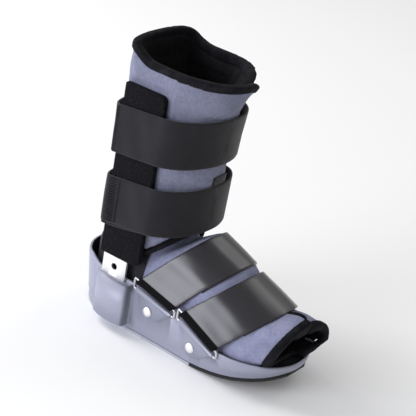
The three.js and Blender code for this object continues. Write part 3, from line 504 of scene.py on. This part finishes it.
def wrinkles(name, spots, s):
    # soft pulls in millimetres: low waves that fade away from each leg strap's edge, and from the toes' fold
    x, forward, z = footFrame(spots)
    if name == "liner_shaft":
        turn = np.arctan2(x, 68 - forward)
        level = z - (forward - capSet["tiltFrom"]) * capSet["tilt"]
        near = sum(np.exp(-((level - edge) / s["reach"]) ** 2) for edge in s["edges"])
        return near * (0.35 * np.sin(turn * 9 + z * 0.05) + 0.25 * np.sin(turn * 17 + 1.3)) - 0.35 * near
    fold = np.exp(-((forward - s["fold"]) / s["foldReach"]) ** 2) * np.clip((z - s["foldLow"]) / 20, 0, 1)
    return 0.45 * fold * np.sin(x * 0.16 + forward * 0.22) + 0.3 * np.sin(forward * 0.11 + x * 0.07)


# the middle lines of foot and leg, for the painted shade inside: their level, ends and place, in metres; turned
# in is a least cosine
insideShadeSet = {
    "level": 0.045, "toeEnd": -0.16, "leg": 0.041, "legTop": 0.32, "turnedIn": 0.55,
    "toe": -0.09, "instep": (0.005, 0.075), "toeTurnedIn": 0.2,
    "mouthFloor": (-0.105, 0.034, 0.060), "mouth": (-0.12, 0.65),
}


def shadeInside(mesh, name, s):
    # a face that looks back at the nearer middle line is painted black: painted shade for the boot's dark
    # inside on the foot wrap the toe's end is painted more freely, and the top of the instep isn't painted
    centre, normal = faceData(mesh)
    zero, one = 0 * centre[:, 0], np.ones(len(centre))
    onFoot = np.stack([zero, np.clip(centre[:, 1], s["toeEnd"], s["leg"]), one * s["level"]], 1)
    onLeg = np.stack([zero, one * s["leg"], np.clip(centre[:, 2], s["level"], s["legTop"])], 1)
    toFoot, toLeg = centre - onFoot, centre - onLeg
    nearer = np.linalg.norm(toFoot, axis=1) < np.linalg.norm(toLeg, axis=1)
    out = np.where(nearer[:, None], toFoot, toLeg)
    facing = (out * normal).sum(1) / np.linalg.norm(out, axis=1)
    inward = facing < -s["turnedIn"]
    if name == "liner_foot":
        x, y, z = centre.T
        instepBack, instepLow = s["instep"]
        floorBack, floorHalf, floorTop = s["mouthFloor"]
        mouthBack, mouthTurned = s["mouth"]
        toe, instep = y < s["toe"], (y < instepBack) & (z > instepLow)
        inward |= (y < floorBack) & (np.abs(x) < floorHalf) & (z < floorTop)
        inward &= toe | ~instep
        inward |= toe & (facing < -s["toeTurnedIn"])
        inward |= (y < mouthBack) & (normal[:, 1] < -mouthTurned)
    # painted shade: the black on the padding's inside faces
    mesh.materials.append(paints["lining"])
    mesh.polygons.foreach_set("material_index", inward.astype(np.int32))


# a core is thinner than its edging, and the instep's filling fades in upwards (metres, but thinner in mm)
coreSet = {"thinner": 0.9, "instepLow": 0.07, "fade": 0.01, "instepFront": -0.07}


def withCore(mesh, edging, shift, s):
    # joins a thinner copy of the edging to the padding, so that the padding runs up inside it
    core = solidCopy(edging)
    setPoints(core, points(core) - normals(core) * s["thinner"] * mm + np.array(shift) * mm)
    work = bmesh.new()
    work.from_mesh(mesh)
    work.from_mesh(core)
    work.to_mesh(mesh)
    work.free()
    return mesh


def filledInstep(mesh, fill, s):
    # thickens the instep a little, so that no thin place opens in the new skin
    spots = points(mesh)
    share = np.clip((spots[:, 2] - s["instepLow"]) / s["fade"], 0, 1) * (spots[:, 1] > s["instepFront"])
    setPoints(mesh, spots + normals(mesh) * (share * fill * mm)[:, None])


def softPiece(node, s):
    # a new skin over the imported form; padding is puffed up to its cap, pulled into wrinkles, and its inside
    # faces are painted black as painted shade
    mesh = solidCopy(node)
    if "fill" in s:
        filledInstep(mesh, s["fill"], coreSet)
    for edging, shift in s.get("cores", {}).items():
        mesh = withCore(mesh, edging, shift, coreSet)
    piece = newPiece(node + "_soft", mesh, node, s["slot"], s["paint"])
    remesh = piece.modifiers.new("remesh", "REMESH")
    remesh.mode, remesh.voxel_size = "VOXEL", s["voxel"] * mm
    smooth = piece.modifiers.new("smooth", "SMOOTH")
    smooth.factor, smooth.iterations = 0.5, s["smooth"]
    mesh = settle(piece)
    if s["puff"]:
        start, cap = points(mesh), capAt(node, points(mesh), capSet)
        move = np.zeros_like(start)
        before, after = puffed(piece, clothSet)
        mesh, move = piece.data, after - before
        size = np.linalg.norm(move, axis=1)
        move *= np.minimum(1, cap / np.maximum(size, 1e-9))[:, None]
        setPoints(mesh, start + move)
        lift = np.minimum(wrinkles(node, start, pullSet) * mm, cap)
        setPoints(mesh, points(mesh) + normals(mesh) * lift[:, None])
        subdivide = piece.modifiers.new("subdivide", "SUBSURF")
        subdivide.levels = subdivide.render_levels = 1
        mesh = settle(piece)
        shadeInside(mesh, node, insideShadeSet)
    else:
        setPoints(mesh, points(mesh) + normals(mesh) * s["grow"] * mm)
    smoothShade(mesh, 80)


for node, s in softSet.items():
    softPiece(node, s)
    print("stage: soft piece", node)


def gridMesh(name, grid, closedRows, uv):
    # grid[i, j] are points: j runs round a closed section, i along the path; open ends get a flat cap
    rows, cols = grid.shape[:2]
    i, j = np.meshgrid(np.arange(rows if closedRows else rows - 1), np.arange(cols), indexing="ij")
    k, l = (i + 1) % rows, (j + 1) % cols
    quads = np.stack([i * cols + j, i * cols + l, k * cols + l, k * cols + j], -1).reshape(-1, 4)
    faces = quads.tolist()
    if not closedRows:
        faces += [np.arange(cols)[::-1].tolist(), ((rows - 1) * cols + np.arange(cols)).tolist()]
    mesh = bpy.data.meshes.new(name)
    mesh.from_pydata(grid.reshape(-1, 3).tolist(), [], faces)
    layer = mesh.uv_layers.new(name="cloth")
    corners = np.empty(len(mesh.loops), np.int32)
    mesh.loops.foreach_get("vertex_index", corners)
    layer.data.foreach_set("uv", uv.reshape(-1, 2)[corners].astype(np.float32).ravel())
    work = bmesh.new()
    work.from_mesh(mesh)
    bmesh.ops.recalc_face_normals(work, faces=work.faces)
    work.to_mesh(mesh)
    work.free()
    smoothShade(mesh, 50)
    return mesh


def bandSection(width, thickness, count):
    # a flat band's section with round edges: place across it from 0 to 1, and height over its inner face
    edge = thickness / 2
    angle = np.linspace(-np.pi / 2, np.pi / 2, 7)[1:-1]
    flat, bulge, rise = np.linspace(edge, width - edge, count), edge * np.cos(angle), edge * np.sin(angle)
    across = np.concatenate([flat, width - edge + bulge, flat[::-1], edge - bulge])
    over = np.concatenate([np.zeros(count), edge + rise, np.full(count, thickness), edge + rise[::-1]])
    return across / width, over


# the leg's outline: height is a share of the boot's, fronts and backs are shares of front and back (mm)
legSet = {
    "boot": 300, "front": 126, "back": 27, "flatBack": 41, "flatFront": 87,
    "height": [0.27, 0.405, 0.578, 0.722, 0.814, 0.877, 0.934, 0.963, 1],
    "fronts": [0.93, 0.985, 0.995, 1.01, 1.04, 1.1, 1.17, 1.195, 1.2],
    "backs": [0.9, 1, 1, 1, 0.8, 0.55, 0.72, 0.86, 0.95],
}
# straps gives each one's lower edge at the middle of the side, in millimetres, and its tilt in degrees
legStrapSet = {
    "width": 50, "thickness": 2.1, "gap": 1.0, "inside": 55.5, "sleeveBack": 38.5, "sleeveFront": 88,
    "turnLength": 55,
    "straps": {"strap_calf": (188.7, 4.9), "strap_ankle": (114.4, 6.1)},
}


def legSurface(low, tilt, share, over, turn, s):
    # half ellipses at front and back, flats at the sides, tilted up to the front, moved out along the normal
    rise, middle = np.tan(np.radians(tilt)), (legSet["flatBack"] + legSet["flatFront"]) / 2
    level = low + s["width"] * share
    frontAt = (level + rise * (legSet["front"] - middle)) / legSet["boot"]
    backAt = (level - rise * (middle - legSet["back"])) / legSet["boot"]
    front = np.interp(frontAt, legSet["height"], legSet["fronts"]) * legSet["front"] + s["gap"]
    back = np.interp(backAt, legSet["height"], legSet["backs"]) * legSet["back"] - s["gap"]
    half, flatFront, flatBack = s["inside"], s["sleeveFront"] + 1, s["sleeveBack"] - 1

    def outline(turn):
        lap = np.mod(turn, 6)
        sign, quarter = np.where(lap < 3, 1, -1), np.minimum(lap, 6 - lap)
        a, b = quarter * np.pi / 2, (quarter - 2) * np.pi / 2
        side = np.where(quarter < 1, half * np.sin(a), np.where(quarter < 2, half, half * np.cos(b)))
        forward = np.where(quarter < 1, flatFront + (front - flatFront) * np.cos(a), np.where(
            quarter < 2, flatFront + (flatBack - flatFront) * (quarter - 1),
            flatBack - (flatBack - back) * np.sin(b)))
        return sign * side, forward

    side, forward = outline(turn)
    side2, forward2 = outline(turn + 0.02)
    side1, forward1 = outline(turn - 0.02)
    length = np.hypot(side2 - side1, forward2 - forward1)
    side = side - (forward2 - forward1) / length * over
    forward = forward + (side2 - side1) / length * over
    height = level + (forward - middle) * rise
    return np.stack([side, 105 - forward, height], -1) * mm


def legUv(grid, turn, share, s):
    # along the strap each unit of turn counts as one length, and across it the width counts as it is
    along = np.broadcast_to(turn * s["turnLength"] * mm, grid.shape[:2])
    across = np.broadcast_to(share * s["width"] * mm, grid.shape[:2])
    return np.stack([along, across], -1)


def legStrap(name, low, tilt, s):
    # a flat band all round the leg, with two low ripples along it
    share, over = bandSection(s["width"], s["thickness"], 14)
    share, over, turn = share[None, :], over[None, :], np.linspace(0, 6, 241)[:-1][:, None]
    ripple = 0.25 * np.sin(turn * 5.1 + low) * np.sin(np.pi * share) + 0.15 * np.sin(turn * 13 + share * 4)
    grid = legSurface(low, tilt, share, over + ripple, turn, s)
    mesh = gridMesh(name, grid, True, legUv(grid, turn, share, s))
    newPiece(name + "_woven", mesh, name, "webbing")


for name, (low, tilt) in legStrapSet["straps"].items():
    legStrap(name, low, tilt, legStrapSet)
print("stage: leg straps made")

# the second layer starts lower than the strap, in millimetres, and rises towards the front
underSet = {
    "low": 111.2, "rise": 5.5, "from": 4.2, "turns": (3.3, 5.2),
    "width": 6, "thickness": 1.0, "lift": 0.2,
}


def ankleSecond(s):
    # it shows as a narrow edge under the ankle strap's lower side, near the back of the near side
    share, over = bandSection(s["width"], s["thickness"], 5)
    share, over, turn = share[None, :], over[None, :] + s["lift"], np.linspace(*s["turns"], 60)[:, None]
    rising = s["low"] + s["rise"] * np.clip(turn - s["from"], 0, 1) ** 2
    band = dict(legStrapSet, width=s["width"])
    grid = legSurface(rising, legStrapSet["straps"]["strap_ankle"][1], share, over, turn, band)
    mesh = gridMesh("second", grid, False, legUv(grid, turn, share, band))
    newPiece("strap_ankle_second", mesh, None, "webbing")


ankleSecond(underSet)


def threads(name, tracks, radius):
    # short threads: tracks[n, m] are points along each, with a six-sided section round them
    along = np.gradient(tracks, axis=1)
    along /= np.linalg.norm(along, axis=-1, keepdims=True)
    side = np.cross(along, np.array([0.3, 0.2, 0.93]))  # any direction that no thread has
    side /= np.maximum(np.linalg.norm(side, axis=-1, keepdims=True), 1e-9)
    up = np.cross(side, along)
    angle = np.arange(6) * np.pi / 3
    taper = np.sin(np.linspace(0.35, np.pi - 0.35, tracks.shape[1]))[None, :, None, None]
    ring = np.cos(angle)[:, None] * side[:, :, None, :] + np.sin(angle)[:, None] * up[:, :, None, :]
    grid = tracks[:, :, None, :] + ring * radius * mm * taper
    count, steps = tracks.shape[:2]
    i, j, n = np.meshgrid(np.arange(steps - 1), np.arange(6), np.arange(count), indexing="ij")
    base, l = n * steps * 6, (j + 1) % 6
    quads = np.stack([base + i * 6 + j, base + i * 6 + l, base + (i + 1) * 6 + l, base + (i + 1) * 6 + j], -1)
    start = (np.arange(count) * steps * 6)[:, None]
    caps = [(start + np.arange(6)[::-1]).tolist(), (start + (steps - 1) * 6 + np.arange(6)).tolist()]
    mesh = bpy.data.meshes.new(name)
    mesh.from_pydata(grid.reshape(-1, 3).tolist(), [], quads.reshape(-1, 4).tolist() + caps[0] + caps[1])
    work = bmesh.new()
    work.from_mesh(mesh)
    bmesh.ops.recalc_face_normals(work, faces=work.faces)
    work.to_mesh(mesh)
    work.free()
    smoothShade(mesh, 80)
    newPiece(name, mesh, None, "binding")


# rows of bar stitches where the straps are sewn to the sleeve: strap, first and last turn, and their number
stitchSet = {
    "ankle_bars": ("strap_ankle", 4.03, 4.23, 17),
    "ankle_column": ("strap_ankle", 4.26, 4.30, 24),
    "calf_column": ("strap_calf", 3.87, 4.02, 22),
}
stitchRadius, stitchLift = 0.6, 0.15
for name, (strap, first, last, count) in stitchSet.items():
    low, tilt = legStrapSet["straps"][strap]
    turn = np.linspace(first, last, 7)[None, :]
    over = np.full_like(turn, legStrapSet["thickness"] + stitchLift)
    shares = np.linspace(0.05, 0.95, count)[:, None]
    threads("stitch_" + name, legSurface(low, tilt, shares, over, turn, legStrapSet), stitchRadius)
print("stage: stitches made")

# the near flap's binding goes on along the flap's edge over the toes, and runs back under the forefoot
# strap; all are in millimetres
lapSet = {"side": 6.5, "probe": 2.5, "from": 227, "to": 250, "half": 3.2, "thick": 2.2, "lift": 0.6}


def lapTape(s):
    # a band of oval section carried along the top of the foot wrap, whose height is probed by rays
    foot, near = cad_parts["liner_foot"].data, points(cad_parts["binding_toe_near"].data)
    tree = BVHTree.FromPolygons(points(foot).tolist(), [tuple(face.vertices) for face in foot.polygons])
    forward = np.linspace(s["from"], s["to"], 14)
    starts = [Vector((s["probe"] * mm, (105 - f) * mm, 0.2)) for f in forward]
    tops = np.array([tree.ray_cast(start, Vector((0, 0, -1)))[0] for start in starts])
    tops = tops * [0, 1, 1] + [s["side"] * mm, 0, 0]
    path = np.array([*tops, near[near[:, 0] > 3 * mm].mean(0)])
    walked = np.concatenate([[0], np.cumsum(np.linalg.norm(np.diff(path, axis=0), axis=1))])
    even = np.linspace(0, walked[-1], 48)
    path = np.stack([np.interp(even, walked, path[:, k]) for k in range(3)], 1)
    for _ in range(12):
        path[1:-1] = path[1:-1] * 0.5 + (path[:-2] + path[2:]) * 0.25
    along = np.gradient(path, axis=0)
    along /= np.linalg.norm(along, axis=1, keepdims=True)
    side = np.cross(along, [0, 0, 1.0])
    side /= np.linalg.norm(side, axis=1, keepdims=True)
    up = np.cross(side, along)
    angle = np.linspace(0, 2 * np.pi, 17)[:-1, None]
    grid = (path + up * s["lift"] * mm)[:, None] + side[:, None] * np.cos(angle) * s["half"] * mm
    grid = grid + up[:, None] * np.sin(angle) * s["thick"] * mm
    print("stage: lap tape from", path[0].round(4).tolist(), "to", path[-1].round(4).tolist())
    newPiece("binding_toe_lap", gridMesh("lap", grid, False, grid[..., :2]), None, "binding")


lapTape(lapSet)

# foot straps: an arch over the foot between two folds round the wire loops
# the table's columns are the foot wrap's sections, as shares: base and crest of sole, low and high of instep,
# near and far of half; square is the arch's power
# straps gives start, width, and the wire's height at back and front, in millimetres
footSet = {
    "instep": 118, "half": 50, "sole": 260,
    "thickness": 2.2, "gap": 1.0, "wire": 1.5, "clear": 0.5, "back": 6,
    "base": [0.231, 0.342, 0.535, 0.569, 0.75, 0.854, 0.923],
    "low": [0.49, 0.508, 0.398, 0.398, 0.288, 0.32, 0.335],
    "near": [0.84, 0.9, 0.91, 0.92, 0.98, 0.97, 0.87],
    "far": [0.84, 0.9, 0.91, 0.92, 0.98, 1, 1],
    "crest": [0.415, 0.517, 0.687, 0.71, 0.888, 0.94, 0.963],
    "high": [0.847, 1, 0.84, 0.798, 0.634, 0.67, 0.68],
    "square": [0.8, 0.8, 0.8, 0.82, 0.88, 0.92, 0.95],
    "second": {"from": 0.5, "share": 0.535, "thickness": 0.7, "sunk": 0.75},
    "straps": {"strap_instep": (89.5, 47, 64.1, 53.0), "strap_forefoot": (148, 47.5, 55.4, 37.2)},
}


def footSurface(name, share, over, s, archOnly=False):
    # along the strap: fold, straight, arch, straight, fold
    # the arch is a squared half ellipse that leans forward
    start, width, wireBack, wireFront = s["straps"][name]
    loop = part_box("loop_" + name[6:] + "_left")
    sideBack, sideFront = loop[0][0] / mm + s["wire"], loop[1][0] / mm - s["wire"]
    wireForward = start + width * share
    wireHeight = wireBack + (wireFront - wireBack) * share
    names = ("low", "near", "far", "crest", "high", "square")
    column = {k: np.interp(wireForward / s["sole"], s["base"], s[k]) for k in names}
    low, high, crest = column["low"] * s["instep"], column["high"] * s["instep"], column["crest"] * s["sole"]
    length, lift = np.hypot(crest - wireForward, high - low), s["gap"] + s["thickness"] / 2
    reach = (length + lift) / length
    crestForward, crestHeight = wireForward + (crest - wireForward) * reach, low + (high - low) * reach
    up = np.hypot(crestForward - wireForward, crestHeight - wireHeight)
    fold = s["wire"] + s["clear"] + s["thickness"] / 2
    half = sideBack + (sideFront - sideBack) * share + fold
    wideNear, wideFar = column["near"] * s["half"] + lift, column["far"] * s["half"] + lift

    def archAt(angle):
        flat = -np.sign(np.cos(angle)) * np.abs(np.cos(angle)) ** column["square"]
        wide = np.where(angle < np.pi / 2, wideNear, wideFar)
        return np.stack([flat * wide, up - (length + lift) * (1 - np.sin(angle) ** column["square"])], -1)

    # the strap runs straight from each wire to the place where the line touches the arch
    angle = np.linspace(0.02, np.pi - 0.02, 241)[:, None] + 0 * share
    tried = archAt(angle)
    lean = np.arctan2(np.abs(tried[..., 0]) - half, tried[..., 1])
    lean[tried[..., 1] < 3] = -9
    first = np.take_along_axis(angle, np.argmax(np.where(angle < np.pi / 2, lean, -9), 0)[None], 0)
    last = np.take_along_axis(angle, np.argmax(np.where(angle > np.pi / 2, lean, -9), 0)[None], 0)
    arch = archAt(first + (last - first) * np.linspace(0, 1, 121)[:, None])
    step = np.linspace(0, 1, 16)[1:-1, None, None]
    wireNear, wireFar = np.stack([-half, 0 * half], -1), np.stack([half, 0 * half], -1)
    straightNear = wireNear + (arch[0] - wireNear) * step
    straightFar = arch[-1] + (wireFar - arch[-1]) * step
    # the folds, from the inner end round under the wire
    b = np.pi + np.pi * np.linspace(0, 1, 15)[:, None]
    loopX = half - fold + fold * np.cos(b)
    loopZ = fold * np.sin(b) + 0 * loopX
    firstX, firstZ = half - 2 * fold, np.full_like(half, s["back"])
    near = np.stack([np.vstack([firstX, loopX]), np.vstack([firstZ, loopZ])], -1)
    mirror = near * [-1, 1]
    path = arch if archOnly else np.concatenate([mirror, straightNear, arch, straightFar, near[::-1]])
    # soften the corners between the folds, the straight runs and the arch
    for _ in range(3):
        path[1:-1] = path[1:-1] * 0.5 + (path[:-2] + path[2:]) * 0.25
    gone = np.linalg.norm(np.diff(path, axis=0), axis=-1)
    walked = np.concatenate([np.zeros((1, gone.shape[1])), np.cumsum(gone, axis=0)])
    tangent = np.gradient(path, axis=0)
    tangent /= np.linalg.norm(tangent, axis=-1, keepdims=True)
    drawn = over[None, :] - s["thickness"] / 2
    ripple = 0.3 * np.sin(walked * 0.09 + share * 3) * np.sin(np.pi * share)
    ripple = ripple + 0.12 * np.sin(walked * 0.31 + 2)
    drawn = drawn + ripple * np.clip((path[..., 1] - 8) / 10, 0, 1)
    x = path[..., 0] - tangent[..., 1] * drawn
    z = path[..., 1] + tangent[..., 0] * drawn
    rise = z / up
    grid = np.stack([x, 105 - (wireForward + (crestForward - wireForward) * rise),
                     wireHeight + (crestHeight - wireHeight) * rise], -1)
    fromEnd = np.minimum(walked, walked[-1] - walked)
    uv = np.stack([np.broadcast_to(share * width, x.shape), fromEnd], -1)
    return grid * mm, uv * mm


def footStrap(name, s):
    # the strap, and a thin second layer that shows along its front edge, sunk below the strap's inner face
    width, second = s["straps"][name][1], s["second"]
    share, over = bandSection(width, s["thickness"], 14)
    grid, uv = footSurface(name, share, over, s)
    newPiece(name + "_coated", gridMesh(name, grid, False, uv), name, "coated_strap")
    share, over = bandSection(width, second["thickness"], 6)
    grid, uv = footSurface(name, second["from"] + share * second["share"], over - second["sunk"], s, True)
    mesh = gridMesh(name + "_second", grid, False, uv + [0, 0.02])  # it counts as farther from the folds
    newPiece(name + "_second", mesh, None, "coated_strap")


for name in footSet["straps"]:
    footStrap(name, footSet)
print("stage: foot straps made")

# floor and lights: each light's place and width in metres, and its power in watts; all aim at the boot
stageSet = {
    "floor": 6.0, "floorColour": 0.98, "world": 0.52, "tint": (0.90, 0.915, 1.0), "aim": (0, 0, 0.12),
    "key": ((-2.0, 0.75, 0.55), 1.4, 34),
    "back": ((-0.4, 2.0, 1.9), 1.6, 38),
    "right": ((1.6, -0.3, 1.6), 0.9, 3.5),
}


def makeStage(s):
    # a white floor under an even white sky, with the key light tinted
    size = s["floor"] / 2
    mesh = bpy.data.meshes.new("floor")
    corners = [(-size, -size, 0), (size, -size, 0), (size, size, 0), (-size, size, 0)]
    mesh.from_pydata(corners, [], [(0, 1, 2, 3)])
    floor = bpy.data.objects.new("floor", mesh)
    bpy.context.scene.collection.objects.link(floor)
    paint = Paint("floorPaint", Roughness=0.9)
    paint.shader.inputs["Base Color"].default_value = (s["floorColour"],) * 3 + (1,)
    mesh.materials.append(paint.material)
    world = bpy.data.worlds.new("studio")
    world.use_nodes = True
    world.node_tree.nodes["Background"].inputs["Color"].default_value = (1, 1, 1, 1)
    world.node_tree.nodes["Background"].inputs["Strength"].default_value = s["world"]
    bpy.context.scene.world = world
    for name in ("key", "back", "right"):
        place, width, power = s[name]
        data = bpy.data.lights.new(name, "AREA")
        data.shape, data.size, data.energy = "DISK", width, power
        data.color = s["tint"] if name == "key" else (1, 1, 1)
        lamp = bpy.data.objects.new(name, data)
        bpy.context.scene.collection.objects.link(lamp)
        aim = Vector(s["aim"]) - Vector(place)
        turned = aim.to_track_quat("-Z", "Y").to_matrix().to_4x4()
        lamp.matrix_world = Matrix.Translation(Vector(place)) @ turned
    bpy.context.scene.view_settings.view_transform = "Standard"


makeStage(stageSet)
print("stage: floor and lights made")

bpy.context.view_layer.update()
